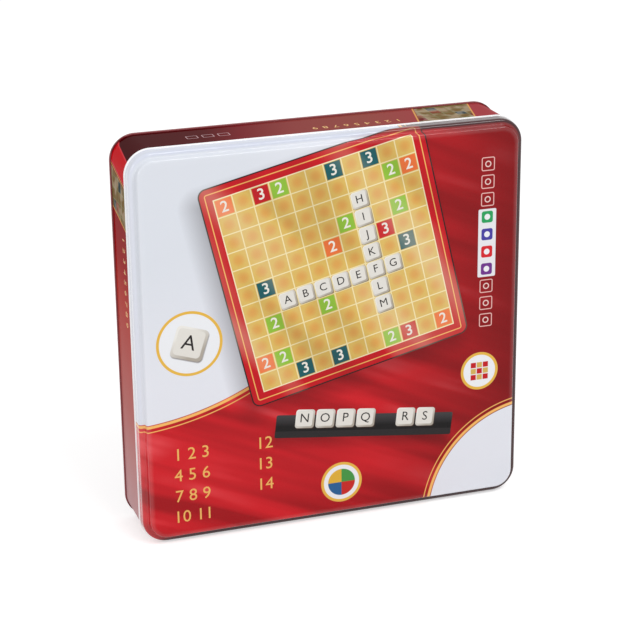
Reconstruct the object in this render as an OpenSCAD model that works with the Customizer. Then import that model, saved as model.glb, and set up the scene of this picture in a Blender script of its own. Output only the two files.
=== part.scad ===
// Square tinplate game case with a lift-off lid, a formed insert, a rolled
// game mat, four tile racks, a rules booklet and one hundred letter tiles.
// It stands on its lower edge, as a game is shown on a shelf: +Z is up, the
// lid faces -Y, and the origin is the middle of the footprint on the floor.

/* [Tin] */
// Width and height over the rolled edges
tin_size = 280; // [276:1:290]
// Depth from the raised lid panel to the back seam
tin_depth = 55; // [54:1:58]
// Corner radius of the body wall
corner_r = 17; // [15:1:20]
// Thickness of the tinplate
sheet_t = 0.4; // [0.3:0.05:0.5]
// How far the lid bead and the back seam stand proud of the walls
bead_proud = 1; // [0.8:0.1:1.4]
// Gap between the lid skirt and the neck of the body
lid_gap = 0.3; // [0.2:0.05:0.4]

/* [Lid] */
// Depth of the lid, from its flat border to the end of its rolled bead
skirt_depth = 10; // [9:0.5:12]
// Length of the rolled bead along the skirt
bead_len = 1.6; // [1.4:0.1:2]
// Outer radius of the edge between the skirt and the border
edge_r = 2.3; // [1.5:0.1:2.6]
// How far the middle panel stands in front of the border
panel_rise = 4; // [3:0.5:4.5]
// Half width of the middle panel at the top of its step
panel_half = 133.2; // [130:0.1:134]
// Steepness of the step between border and panel, in degrees
step_angle = 75; // [65:1:80]

/* [Back] */
// How far the bottom panel lies inside the back seam
back_recess = 2.5; // [2:0.1:3]
// Half width of the field pressed forward in the bottom panel
field_half = 122; // [110:1:126]
// How far that field is pressed forward
field_rise = 1; // [0.5:0.1:1.2]

/* [Insert] */
// Thickness of the formed plastic sheet
insert_t = 0.8; // [0.6:0.1:1]
// Depth of the mat trough
mat_well_depth = 41; // [40.5:0.5:43]
// Depth of the tile well
tile_well_depth = 43; // [42:0.5:44]
// Depth of the rack well
rack_well_depth = 37; // [36:0.5:40]
// Depth of the booklet recess
book_well_depth = 3; // [2.5:0.1:3.5]

/* [Game mat] */
// Side of the square mat
mat_side = 256; // [240:1:256]
// Thickness of the mat
mat_t = 2; // [1.5:0.1:2.1]
// Outer diameter of the rolled mat
roll_d = 38; // [36:0.5:38.5]
// Free gap between the turns of the roll
roll_gap = 0.25; // [0.2:0.05:0.3]

/* [Tiles] */
// Side of a letter tile
tile_side = 20; // [18:0.5:20]
// Thickness of a letter tile
tile_t = 10; // [8:0.5:10]
// Corner radius of a letter tile
tile_r = 2.4; // [1:0.1:4]
// Bevel round the face of a letter tile
tile_bevel = 0.9; // [0.4:0.1:1.5]
// Gap between neighbouring tiles in a layer
tile_gap = 0.4; // [0.3:0.05:0.5]
// Gap between the layers
layer_gap = 0.25; // [0.2:0.05:0.3]
// Tiles in a row, and rows in a layer
tile_rows = 5; // [5:1:5]
// Layers of tiles
tile_layers = 4; // [4:1:4]

/* [Racks] */
// Length of a rack
rack_len = 190; // [160:1:190]
// Depth of a rack, front lip to foot
rack_deep = 24; // [22:0.5:24]
// Height of a rack
rack_high = 17; // [15:0.5:17]
// Height of the front lip
rack_lip = 5; // [4:0.5:8]
// Wall thickness of a rack
rack_wall = 2.8; // [2:0.1:3]

/* [Booklet] */
// Side of the square rules booklet
book_side = 140; // [120:1:140]
// Thickness of the rules booklet
book_t = 1.6; // [1:0.1:2]
// Width of a staple across the fold
staple_len = 12; // [10:1:14]

/* [Hidden] */
$fn = 48;
TILE_NODES = [for (layer = [1:tile_layers], row = [1:tile_rows])
    str("tile_layer", layer, "_row", row)];
eps = 0.05;

// Everything is drawn with the tin lying on its back: heights count up from
// the middle of the depth, and half widths count out from the middle line.
top_z = tin_depth / 2;
back_z = -tin_depth / 2;
bead_half = tin_size / 2;
wall_half = bead_half - bead_proud;
corner_c = wall_half - corner_r;
border_z = top_z - panel_rise;
bead_z = border_z - skirt_depth;
bead_round = 0.5;
neck_half = wall_half - sheet_t - lid_gap;
rim_drop = 0.7; // from the underside of the lid border to the rim
rim_z = border_z - sheet_t - rim_drop;
rim_curl_r = 0.8;
neck_end_z = bead_z - 0.5; // the lid bead stops short of the shoulder
wall_start_z = neck_end_z - 1;
flange_z = back_z + 2 * sheet_t;
seam_round = 0.4;
seam_top_z = back_z + 2.3;
panel_z = back_z + back_recess;
lock_w = 5; // width of the lock seam inside the wall
lock_gap = 2;

step_bend_r = 1.1;
field_corner_r = 12;
field_c = field_half - field_corner_r;
field_angle = 45;

tray_half = neck_half - 2 * rim_curl_r - 0.4; // it slides past the rim
tray_z = rim_z - 0.2;
pack_gap = 0.3; // under and between the packed pieces
tray_foot_z = panel_z + sheet_t + pack_gap;
well_gap = 1; // round a piece in its well

roll_y = -111.5;
roll_z = tray_z - mat_well_depth + pack_gap + roll_d / 2;
mat_well = [0, roll_y, mat_side + 2 * well_gap, roll_d + 2 * well_gap];
rack_y = 107.25;
rack_gap = 0.5; // from the middle of the rack well to a rack
rack_well = [0, rack_y, rack_len + 2 * well_gap, 2 * rack_deep + 2.5];
tile_pitch = tile_side + tile_gap;
tile_mid = (tile_rows + 1) / 2;
tile_c = [77.4, -5];
tile_well_side = tile_rows * tile_pitch - tile_gap + 1.2;
tile_well = [tile_c[0], tile_c[1], tile_well_side, tile_well_side];
book_c = [-59.5, -5];
book_well = [book_c[0], book_c[1], book_side + 2 * well_gap, book_side + 2 * well_gap];
book_z = tray_z - book_well_depth + pack_gap;

notch_depth = 30;
tile_notch_r = 13;
end_notch_r = 12; // beside the mat and the racks
book_notch_depth = 15;
book_notch_r = 9;
book_notch_x = book_c[0] - 40;

// Stands the tin up: its lid turns to -Y and its lower edge meets the floor.
module stand() {
    translate([0, 0, bead_half]) rotate([90, 0, 0]) children();
}

// A flat square with round corners, its centre at the origin.
module round_square(half, r) {
    square([2 * half, 2 * (half - r)], center = true);
    square([2 * (half - r), 2 * half], center = true);
    for (sx = [-1, 1], sy = [-1, 1])
        translate([sx * (half - r), sy * (half - r)]) circle(r);
}

// A flat rectangle with round corners, given as [x, y, width, height].
module round_rect(well, r, grow = 0) {
    w = well[2] + 2 * grow;
    h = well[3] + 2 * grow;
    translate([well[0], well[1]]) {
        square([w, h - 2 * r], center = true);
        square([w - 2 * r, h], center = true);
        for (sx = [-1, 1], sy = [-1, 1])
            translate([sx * (w / 2 - r), sy * (h / 2 - r)]) circle(r);
    }
}

// Carries a wall section round the square: four straight runs and four
// quarter turns about the corner centres at c.
module wall_ring(c) {
    for (k = [0:3]) rotate(90 * k) {
        rotate([90, 0, 0]) linear_extrude(2 * c, center = true) children();
        translate([c, c, 0]) rotate_extrude(angle = 90) translate([-c, 0]) children();
    }
}

// A bar of the section between two half widths and two heights.
module bar(h0, h1, z0, z1) {
    translate([h0, z0]) square([h1 - h0, z1 - z0]);
}

// The same bar with round corners.
module soft_bar(h0, h1, z0, z1, r) {
    bar(h0 + r, h1 - r, z0, z1);
    bar(h0, h1, z0 + r, z1 - r);
    for (h = [h0 + r, h1 - r], z = [z0 + r, z1 - r]) translate([h, z]) circle(r);
}

// Points of one side of a bent strip: an arc about c from angle a0 to a1.
function bend(c, r, a0, a1, n = 6) =
    [for (i = [0:n]) c + r * [cos(a0 + (a1 - a0) * i / n), sin(a0 + (a1 - a0) * i / n)]];

// Section of a pressed step that rises by rise towards the middle of the
// sheet. It ends at half width h_in on the high side, upper face at z_high,
// and laps eps into the flat sheet at both ends.
module step_section(h_in, z_high, rise, angle) {
    r = step_bend_r;
    straight = (rise - 2 * r * (1 - cos(angle))) / sin(angle);
    slope = straight * [cos(angle), -sin(angle)];
    high_c = [h_in, z_high - sheet_t / 2 - r];
    low_c = high_c + 2 * r * [sin(angle), cos(angle)] + slope;
    outer = concat(bend(high_c, r + sheet_t / 2, 90, 90 - angle),
        bend(low_c, r - sheet_t / 2, 270 - angle, 270));
    inner = concat(bend(low_c, r + sheet_t / 2, 270, 270 - angle),
        bend(high_c, r - sheet_t / 2, 90 - angle, 90));
    lap_in = [[h_in - eps, z_high - sheet_t], [h_in - eps, z_high]];
    lap_out = [[low_c[0] + eps, z_high - rise], [low_c[0] + eps, z_high - rise - sheet_t]];
    polygon(concat(lap_in, outer, lap_out, inner));
}

// Width that such a step takes.
function step_run(rise, angle) = 2 * step_bend_r * sin(angle)
    + (rise - 2 * step_bend_r * (1 - cos(angle))) / tan(angle);

border_half = panel_half + step_run(panel_rise, step_angle);

// The lid: one pressed sheet with a raised panel, a flat border, a rounded
// edge, a short skirt and a bead rolled outwards.
module lid() {
    color("gainsboro") stand() {
        wall_ring(corner_c) {
            soft_bar(wall_half - sheet_t, bead_half, bead_z, bead_z + bead_len, bead_round);
            bar(wall_half - sheet_t, wall_half, bead_z + bead_round, border_z - edge_r);
            translate([wall_half - edge_r, border_z - edge_r]) intersection() {
                difference() {
                    circle(edge_r);
                    circle(edge_r - sheet_t);
                }
                square(edge_r + eps);
            }
        }
        translate([0, 0, border_z - sheet_t]) linear_extrude(sheet_t) difference() {
            round_square(wall_half - edge_r, corner_r - edge_r);
            round_square(border_half, border_half - corner_c);
        }
        wall_ring(corner_c) step_section(panel_half, top_z, panel_rise, step_angle);
        translate([0, 0, top_z - sheet_t]) linear_extrude(sheet_t)
            round_square(panel_half, panel_half - corner_c);
    }
}

// The body wall: one strip bent into a square ring, with a curled rim, a neck
// that takes the lid, and a flange at the back that the seam holds.
module body_wall() {
    color("firebrick") stand() {
        wall_ring(corner_c) {
            translate([neck_half - rim_curl_r, rim_z - rim_curl_r]) circle(rim_curl_r);
            bar(neck_half - sheet_t, neck_half, neck_end_z, rim_z - rim_curl_r);
            polygon([[neck_half - sheet_t, neck_end_z], [neck_half, neck_end_z],
                [wall_half, wall_start_z], [wall_half - sheet_t, wall_start_z]]);
            bar(wall_half - sheet_t, wall_half, flange_z, wall_start_z);
            bar(wall_half - sheet_t, bead_half - sheet_t - 0.1, flange_z, flange_z + sheet_t);
        }
        // The ends of the strip are locked together inside the lower wall.
        translate([-lock_w / 2, -wall_half + sheet_t - eps, seam_top_z + lock_gap])
            cube([lock_w, sheet_t + eps, wall_start_z - seam_top_z - 2 * lock_gap]);
    }
}

// The bottom panel: it hooks over the flange of the wall in a folded seam,
// and its middle field is pressed forward to stiffen it.
module bottom_panel() {
    field_foot = field_half + step_run(field_rise, field_angle);
    seam_in = wall_half - 2 * sheet_t;
    color("darkred") stand() {
        wall_ring(corner_c) difference() {
            union() {
                soft_bar(seam_in, bead_half, back_z, seam_top_z, seam_round);
                bar(seam_in, seam_in + sheet_t, seam_top_z - seam_round, panel_z + sheet_t);
            }
            bar(seam_in + sheet_t, bead_half - sheet_t, back_z + sheet_t, seam_top_z - sheet_t);
            bar(seam_in + sheet_t, wall_half + 0.1, seam_top_z - sheet_t - eps, top_z);
        }
        translate([0, 0, panel_z]) linear_extrude(sheet_t) difference() {
            round_square(seam_in + eps, seam_in + eps - corner_c);
            round_square(field_foot, field_foot - field_c);
        }
        wall_ring(field_c)
            step_section(field_half, panel_z + sheet_t + field_rise, field_rise, field_angle);
        translate([0, 0, panel_z + field_rise]) linear_extrude(sheet_t)
            round_square(field_half, field_corner_r);
    }
}

// A well of the insert, as its outside (grow by the sheet) or its inside.
module well(size, depth, r, grow) {
    floor_z = tray_z - depth - grow;
    translate([0, 0, floor_z]) linear_extrude(depth + grow + (grow > 0 ? 0 : 1))
        round_rect(size, r + grow, grow);
}

// A half-round place for a finger at the edge of a well.
module finger_notch(at, depth, r, grow) {
    translate([at[0], at[1], tray_z - depth - grow])
        cylinder(h = depth + grow + (grow > 0 ? 0 : 1), r = r + grow);
}

module wells(grow) {
    tile_edge = tile_well_side / 2;
    well(mat_well, mat_well_depth, 3, grow);
    finger_notch([0, roll_y + mat_well[3] / 2], notch_depth, end_notch_r, grow);
    well(rack_well, rack_well_depth, 2, grow);
    finger_notch([0, rack_y - rack_well[3] / 2], notch_depth, end_notch_r, grow);
    well(tile_well, tile_well_depth, 2, grow);
    for (s = [-1, 1])
        finger_notch([tile_c[0], tile_c[1] + s * tile_edge], notch_depth, tile_notch_r, grow);
    well(book_well, book_well_depth, 3, grow);
    finger_notch([book_notch_x, book_c[1] + book_well[3] / 2], book_notch_depth,
        book_notch_r, grow);
}

// The insert: one formed plastic sheet with a trough for the mat, wells for
// the racks and tiles, a recess for the booklet and a skirt that it stands on.
module insert_tray() {
    color("dimgray") stand() difference() {
        union() {
            translate([0, 0, tray_z - insert_t]) linear_extrude(insert_t)
                round_square(tray_half, tray_half - corner_c);
            translate([0, 0, tray_foot_z]) linear_extrude(tray_z - tray_foot_z) difference() {
                round_square(tray_half, tray_half - corner_c);
                round_square(tray_half - insert_t, tray_half - insert_t - corner_c);
            }
            wells(insert_t);
        }
        wells(0);
    }
}

// The mat rolls up as a spiral whose turns lie one sheet and one gap apart.
roll_pitch = mat_t + roll_gap;
roll_mid_r = (roll_d - mat_t) / 2;
roll_turns = (roll_mid_r - sqrt(roll_mid_r * roll_mid_r - roll_pitch * mat_side / PI))
    / roll_pitch;
roll_steps = 90;
function roll_point(turn, side) = (roll_mid_r - roll_pitch * turn + side * mat_t / 2)
    * [cos(360 * turn), sin(360 * turn)];

// The game mat: a square of printed foam rubber, rolled up.
module game_mat() {
    turns = [for (i = [0:roll_steps]) roll_turns * i / roll_steps];
    outer = [for (t = turns) roll_point(t, 1)];
    inner = [for (i = [roll_steps:-1:0]) roll_point(turns[i], -1)];
    color("goldenrod") stand() translate([0, roll_y, roll_z]) rotate([90, 0, 90])
        linear_extrude(mat_side, center = true) polygon(concat(outer, inner));
}

// A rack: a foot plate, a front lip, a sloped back rest and two end cheeks.
// The rest starts far enough behind the lip for a tile to lean on it.
rack_rest_foot = [rack_deep - 9.8, rack_wall];
rack_rest_top = [rack_deep - 4.3, rack_high];

module rack_section() {
    square([rack_deep, rack_wall]);
    square([rack_wall, rack_lip]);
    polygon([rack_rest_foot - [0.3, eps], rack_rest_top, rack_rest_top + [rack_wall, 0],
        rack_rest_foot + [rack_wall, -eps]]);
}

module rack_cheek() {
    polygon([[0, 0], [rack_deep, 0], [rack_deep, rack_wall], rack_rest_top + [rack_wall, 0],
        rack_rest_top, [rack_wall, rack_lip], [0, rack_lip]]);
}

// Racks lie two side by side and two deep in their well.
module rack(side, level) {
    at_y = rack_y + (side == 0 ? -rack_deep - rack_gap : rack_gap);
    at_z = tray_z - rack_well_depth + pack_gap + level * (rack_high + pack_gap);
    color("black") stand() translate([0, at_y, at_z]) rotate([90, 0, 90]) {
        linear_extrude(rack_len, center = true) rack_section();
        for (s = [-1, 1]) translate([0, 0, s * (rack_len - rack_wall) / 2])
            linear_extrude(rack_wall, center = true) rack_cheek();
    }
}

// The rules booklet: a folded and stapled block of pages, its spine at -X.
module rules_booklet() {
    color("whitesmoke") stand() translate([book_c[0], book_c[1], book_z])
        linear_extrude(book_t) square(book_side, center = true);
}

module booklet_staples() {
    wire = 0.5;
    spine_x = book_c[0] - book_side / 2;
    color("silver") stand() for (s = [-1, 1])
        translate([spine_x - wire, book_c[1] + s * book_side / 4 - staple_len / 2, book_z + 0.5])
            cube([wire, staple_len, wire]);
}

// One letter tile, its face up: round corners, a bevel round the face.
module tile() {
    side_section = [[-tile_side / 2, 0], [tile_side / 2, 0],
        [tile_side / 2, tile_t - tile_bevel], [tile_side / 2 - tile_bevel, tile_t],
        [-tile_side / 2 + tile_bevel, tile_t], [-tile_side / 2, tile_t - tile_bevel]];
    intersection() {
        linear_extrude(tile_t) round_square(tile_side / 2, tile_r);
        rotate([90, 0, 0]) linear_extrude(tile_side + 1, center = true) polygon(side_section);
        rotate([90, 0, 90]) linear_extrude(tile_side + 1, center = true) polygon(side_section);
    }
}

// A row of five separate tiles. Layer 1 is the deepest, row 1 the lowest.
module tile_row(layer, row) {
    z = tray_z - tile_well_depth + pack_gap + (layer - 1) * (tile_t + layer_gap);
    y = tile_c[1] + (row - tile_mid) * tile_pitch;
    color("ivory") stand() for (i = [1:tile_rows])
        translate([tile_c[0] + (i - tile_mid) * tile_pitch, y, z]) tile();
}

lid();
body_wall();
bottom_panel();
insert_tray();
game_mat();
rack(0, 0);  // rack_1
rack(1, 0);  // rack_2
rack(0, 1);  // rack_3
rack(1, 1);  // rack_4
rules_booklet();
booklet_staples();
for (layer = [1:tile_layers], row = [1:tile_rows])
    tile_row(layer, row);
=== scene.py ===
import math

import bmesh
import bpy
from mathutils import Matrix, Vector


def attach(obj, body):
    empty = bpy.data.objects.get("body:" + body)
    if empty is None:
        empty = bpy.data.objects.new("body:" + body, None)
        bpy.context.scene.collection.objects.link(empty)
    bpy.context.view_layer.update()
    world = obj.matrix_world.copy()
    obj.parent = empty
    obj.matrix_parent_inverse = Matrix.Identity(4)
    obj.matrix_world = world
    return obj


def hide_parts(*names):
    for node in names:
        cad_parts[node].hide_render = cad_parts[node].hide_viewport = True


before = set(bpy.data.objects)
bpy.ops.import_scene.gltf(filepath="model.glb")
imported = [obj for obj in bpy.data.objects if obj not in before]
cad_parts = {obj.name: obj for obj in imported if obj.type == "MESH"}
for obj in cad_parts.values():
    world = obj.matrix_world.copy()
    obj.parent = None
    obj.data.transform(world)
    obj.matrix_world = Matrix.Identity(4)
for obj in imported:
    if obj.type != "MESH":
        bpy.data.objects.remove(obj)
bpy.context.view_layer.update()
bpy.context.scene.view_settings.view_transform = "Standard"


# The room: a white table top that runs on as the backdrop, a soft white sky,
# a strip lamp overhead and a weaker window lamp on the left. The camera stands
# to the left of the case and above it, so that the outlines agree.
LENS_PX = 1999.7
AZIMUTH, ELEVATION, ROLL = (math.radians(a) for a in (18.493, 19.909, -0.649))
DISTANCE = 1.3953
LOOK_AT = Vector((-0.00148, 0, 0.14083))

backward = Vector((
    -math.sin(AZIMUTH) * math.cos(ELEVATION),
    -math.cos(AZIMUTH) * math.cos(ELEVATION),
    math.sin(ELEVATION),
))
level = Vector((0, 0, 1)).cross(backward).normalized()
upright = backward.cross(level)
rightward = level * math.cos(ROLL) + upright * math.sin(ROLL)
upward = upright * math.cos(ROLL) - level * math.sin(ROLL)

camera_data = bpy.data.cameras.new("camera")
camera_data.sensor_width = 36
camera_data.lens = 36 * LENS_PX / 640
camera_data.clip_start = 0.05
camera = bpy.data.objects.new("camera", camera_data)
bpy.context.scene.collection.objects.link(camera)
camera.matrix_world = Matrix.Translation(LOOK_AT + backward * DISTANCE) @ Matrix(
    (rightward, upward, backward)).transposed().to_4x4()
bpy.context.scene.camera = camera


def soft_lamp(name, place, aim, size, power):
    lamp = bpy.data.lights.new(name, "AREA")
    lamp.shape = "RECTANGLE"
    lamp.size, lamp.size_y = size
    lamp.energy = power
    stand = bpy.data.objects.new(name, lamp)
    stand.location = place
    stand.rotation_euler = (Vector(place) - Vector(aim)).to_track_quat("Z", "Y").to_euler()
    bpy.context.scene.collection.objects.link(stand)


soft_lamp("strip_lamp", (0.7, -1.3, 1.9), (0, 0, 0.14), (1.6, 0.45), 20)
soft_lamp("window_lamp", (-1.9, -1.1, 1.0), (0, 0, 0.14), (1.0, 1.0), 9)


def srgb(red, green, blue):
    """A printed colour, given as 0 to 255 on a display, as a linear one."""
    return tuple(c / (255 * 12.92) if c <= 10 else ((c / 255 + 0.055) / 1.055) ** 2.4
                 for c in (red, green, blue)) + (1,)


class Flow:
    """A socket in a finish's nodes. Arithmetic on it adds Math nodes."""

    def __init__(self, finish, socket):
        self.finish, self.socket = finish, socket

    def out(self, name):
        return Flow(self.finish, self.socket.node.outputs[name])

    def math(self, operation, *values, clamp=False):
        return self.finish.node("Math", {"operation": operation, "use_clamp": clamp},
                                dict(enumerate(values)))

    def __add__(self, other):
        return self.math("ADD", self, other)

    def __radd__(self, other):
        return self.math("ADD", other, self)

    def __sub__(self, other):
        return self.math("SUBTRACT", self, other)

    def __rsub__(self, other):
        return self.math("SUBTRACT", other, self)

    def __mul__(self, other):
        return self.math("MULTIPLY", self, other)

    def __rmul__(self, other):
        return self.math("MULTIPLY", other, self)

    def __truediv__(self, other):
        return self.math("DIVIDE", self, other)

    def __mod__(self, other):
        return self.math("FLOORED_MODULO", self, other)

    def __lt__(self, other):
        return self.math("LESS_THAN", self, other)

    def __gt__(self, other):
        return self.math("GREATER_THAN", self, other)

    def __abs__(self):
        return self.math("ABSOLUTE", self)

    def floor(self):
        return self.math("FLOOR", self)

    def most(self, other):
        return self.math("MAXIMUM", self, other)

    def is_near(self, value, within=0.5):
        return self.math("COMPARE", self, value, within)

    def inside(self, soften=0.3):
        """1 where a distance is below zero, 0 above, soft in between."""
        return self.math("MULTIPLY_ADD", self, -1 / soften, 0.5, clamp=True)

    def ramp(self, low, high):
        """0 below low, 1 above high."""
        return self.finish.node("MapRange", {"clamp": True},
                                {0: self, 1: low, 2: high, 3: 0.0, 4: 1.0})

    def vector(self, operation, other=None):
        sockets = {0: self} if other is None else {0: self, 1: other}
        return self.finish.node("VectorMath", {"operation": operation}, sockets)

    def dot(self, other):
        return self.vector("DOT_PRODUCT", other).out("Value")

    def scaled(self, factor):
        return self.finish.node("VectorMath", {"operation": "SCALE"}, {0: self, "Scale": factor})

    def split(self):
        x = self.finish.node("SeparateXYZ", {}, {0: self})
        return x, x.out("Y"), x.out("Z")

    def cells(self, size):
        """The column and row of the square that the place is in, counted from
        the middle one, and the place within that square."""
        x, y, _ = self.split()
        column, row = (x / size + 0.5).floor(), (y / size + 0.5).floor()
        return column, row, x - column * size, y - row * size

    def turned(self, degrees, centre=(0, 0, 0)):
        """The place as seen from a frame that is turned about centre and starts there."""
        back = self.finish.node("VectorRotate", {"rotation_type": "Z_AXIS"},
                                {"Vector": self, "Center": centre, "Angle": -math.radians(degrees)})
        return back.vector("SUBTRACT", centre)

    def to_disc(self, centre, radius):
        return self.finish.node("VectorMath", {"operation": "DISTANCE"},
                                {0: self, 1: centre}).out("Value") - radius

    def to_slab(self, half, corner=0.0):
        """Distance to a rectangle about the origin with round corners."""
        past = self.vector("ABSOLUTE").vector(
            "SUBTRACT", (half[0] - corner, half[1] - corner, 1e4))
        if corner:
            return past.vector("MAXIMUM", (0, 0, 0)).vector("LENGTH").out("Value") - corner
        x, y, _ = past.split()
        return x.most(y)


class Finish:
    """A material, or the sky: its shader, and the nodes that feed it."""

    def __init__(self, name, shelf=bpy.data.materials, shader="Principled BSDF", **sockets):
        self.material = shelf.new(name)
        self.material.use_nodes = True
        self.tree = self.material.node_tree
        self.shader = self.tree.nodes[shader]
        self.feed(**sockets)

    def feed(self, **sockets):
        for name, value in sockets.items():
            self.put(self.shader.inputs[name.replace("_", " ")], value)

    def put(self, socket, value):
        if isinstance(value, Flow):
            self.tree.links.new(value.socket, socket)
        else:
            socket.default_value = value

    def node(self, kind, settings, sockets):
        """Adds a node. Its settings come first, then the values or links of
        its sockets, by number or by name."""
        made = self.tree.nodes.new("ShaderNode" + kind)
        for name, value in settings.items():
            if name == "stops":
                ramp = made.color_ramp
                while len(ramp.elements) < len(value):
                    ramp.elements.new(0.5)
                for stop, (place, colour) in zip(ramp.elements, value):
                    stop.position, stop.color = place, colour
            else:
                setattr(made, name, value)
        for key, value in sockets.items():
            if isinstance(key, str):
                key = next(i for i, s in enumerate(made.inputs) if key in (s.identifier, s.name))
            self.put(made.inputs[key], value)
        first = 2 if kind == "Mix" else 0
        return Flow(self, made.outputs[first])

    def lay(self, under, colour, mask):
        """The colour laid over the one under it, where the mask is 1."""
        return self.node("Mix", {"data_type": "RGBA"}, {0: mask, 6: under, 7: colour})

    def noise(self, place, scale, detail=3.0, roughness=0.5):
        return self.node("TexNoise", {}, {"Vector": place, "Scale": scale, "Detail": detail,
                                          "Roughness": roughness})

    def stretched(self, place, scale):
        return self.node("Mapping", {}, {"Vector": place, "Scale": scale})

    def in_mm(self):
        """The place on the part, in mm."""
        return self.node("TexCoord", {}, {}).out("Object").scaled(1000)

    def facing(self):
        """Which way the surface faces, on the part."""
        return self.node("NewGeometry", {}, {}).out("True Normal")

    def seen(self):
        """1 for a ray that shows the background itself."""
        ray = self.node("LightPath", {}, {})
        return ray.most(ray.out("Is Glossy Ray")).most(ray.out("Is Transmission Ray"))

    def bumped(self, height, distance, strength=1.0, under=None):
        sockets = {"Height": height, "Distance": distance, "Strength": strength}
        if under is not None:
            sockets["Normal"] = under
        return self.node("Bump", {}, sockets)


table_top = bpy.data.objects.new("table_top", bpy.data.meshes.new("table_top"))
table_top.data.from_pydata([(-12, -12, 0), (12, -12, 0), (12, 12, 0), (-12, 12, 0)], [],
                           [(0, 1, 2, 3)])
bpy.context.scene.collection.objects.link(table_top)
table_paint = Finish("table_paint", Base_Color=(0.8, 0.8, 0.8, 1), Roughness=0.9,
                     Specular_IOR_Level=0)
glow = table_paint.node("Emission", {}, {"Color": (1, 1, 1, 1), "Strength": 0.5})
unlit = table_paint.node("Emission", {}, {"Strength": 0.0})
glow_if_seen = table_paint.node("MixShader", {}, {0: table_paint.seen(), 1: unlit, 2: glow})
both = table_paint.node("AddShader", {}, {
    0: Flow(table_paint, table_paint.shader.outputs[0]), 1: glow_if_seen})
table_paint.put(table_paint.tree.nodes["Material Output"].inputs["Surface"], both)
table_top.data.materials.append(table_paint.material)

SKY_LIGHT = 0.62
sky = Finish("sky", bpy.data.worlds, "Background", Color=(1, 1, 1, 1))
sky.feed(Strength=sky.seen() * (1 - SKY_LIGHT) + SKY_LIGHT)
bpy.context.scene.world = sky.material


# The body wall: one strip of printed tinplate, bent round into a square ring
# with its ends locked inside the lower wall. Its front edge is curled into a
# rim and stepped in to a neck, and its back edge is flanged for the seam.
SHEET = 0.4
WALL_HALF, CORNER_R = 139.0, 17.0
CORNER_C = WALL_HALF - CORNER_R
NECK_HALF, NECK_END, WALL_START = 138.3, 13.0, 12.0
RIM_R, RIM_Z, RIM_FOOT = 0.8, 22.4, 17.0
SHOULDER_R = 0.6
BACK_Z = -27.5
TIN_HALF = 140.0
FLANGE_HALF, FLANGE_Z = TIN_HALF - SHEET - 0.1, BACK_Z + 0.8


def stood(x, y, z):
    """From the tin lying on its back, in mm, to the tin as it stands."""
    return Vector((x, -z, TIN_HALF + y)) / 1000


def arc(h, z, r, start, end, steps):
    return [(h + r * math.cos(math.radians(start + (end - start) * i / steps)),
             z + r * math.sin(math.radians(start + (end - start) * i / steps)))
            for i in range(steps + 1)]


def round_the_square(c, half, turns=24):
    """Points of a rounded square that is half wide, its corner centres at c."""
    points = []
    for quarter, (sx, sy) in enumerate(((1, 1), (-1, 1), (-1, -1), (1, -1))):
        for i in range(turns + 1):
            a = math.radians(90 * (quarter + i / turns))
            points.append((sx * c + (half - c) * math.cos(a), sy * c + (half - c) * math.sin(a)))
    return points


def shaped(name, work, sharp=None):
    """Makes a piece of the working mesh. Given an angle in degrees, it is
    smooth but for the edges that turn by more than that."""
    bmesh.ops.recalc_face_normals(work, faces=work.faces)
    if sharp is not None:
        for face in work.faces:
            face.smooth = True
    mesh = bpy.data.meshes.new(name)
    work.to_mesh(mesh)
    work.free()
    if sharp is not None:
        mesh.set_sharp_from_angle(angle=math.radians(sharp))
    piece = bpy.data.objects.new(name, mesh)
    bpy.context.scene.collection.objects.link(piece)
    return piece


def sheet_metal(name, section, caps, flats=None):
    """Carries a section of (half width, height, corner centre) round the
    square. The section is a loop, or with caps its first and last rings are
    closed. flats gives each strip's two half widths on the printed sheet,
    with the middle and the scale of its part of the map."""
    work = bmesh.new()
    layer = work.loops.layers.uv.new("OFBake") if flats else None
    rings = [[work.verts.new(stood(x, y, z)) for x, y in round_the_square(c, h)]
             for h, z, c in section]
    count = len(rings[0])
    strips = list(zip(range(len(rings)), range(1, len(rings))))
    if not caps:
        strips.append((len(rings) - 1, 0))

    def mapped(ring, part, half):
        middle, scale = part
        return [(middle + x * scale, middle + y * scale)
                for x, y in round_the_square(section[ring][2], half)]

    for number, (a, b) in enumerate(strips):
        if flats:
            part, half_a, half_b = flats[number]
            map_a, map_b = mapped(a, part, half_a), mapped(b, part, half_b)
        for i in range(count):
            j = (i + 1) % count
            face = work.faces.new((rings[a][i], rings[a][j], rings[b][j], rings[b][i]))
            if flats:
                for loop, spot in zip(face.loops, (map_a[i], map_a[j], map_b[j], map_b[i])):
                    loop[layer].uv = spot
    if caps:
        for ring, number, side in ((0, 0, 1), (-1, -1, 2)):
            face = work.faces.new(rings[ring])
            if flats:
                spots = mapped(ring, flats[number][0], flats[number][side])
                for loop, spot in zip(face.loops, spots):
                    loop[layer].uv = spot
    return shaped(name, work, sharp=40)


wall_section = (
    [(NECK_HALF, NECK_END), (NECK_HALF, RIM_FOOT)]
    + arc(NECK_HALF - RIM_R, RIM_Z - RIM_R, RIM_R, 0, 300, 20)
    + [(NECK_HALF - SHEET, RIM_FOOT), (NECK_HALF - SHEET, NECK_END - 0.05),
       (WALL_HALF - SHEET, WALL_START - 0.05), (WALL_HALF - SHEET, 0.0),
       (WALL_HALF - SHEET, FLANGE_Z), (FLANGE_HALF, FLANGE_Z),
       (FLANGE_HALF, FLANGE_Z + SHEET), (WALL_HALF, FLANGE_Z + SHEET),
       (WALL_HALF, BACK_Z + 2.0), (WALL_HALF, 0.0), (WALL_HALF, WALL_START - 1.0)]
    + arc(WALL_HALF - SHOULDER_R, WALL_START - 0.4, SHOULDER_R, 0, 55, 4)
    + [(NECK_HALF + 0.1, NECK_END - 0.35)]
)
tin_wall = sheet_metal("tin_wall", [(h, z, CORNER_C) for h, z in wall_section], caps=False)


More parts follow.
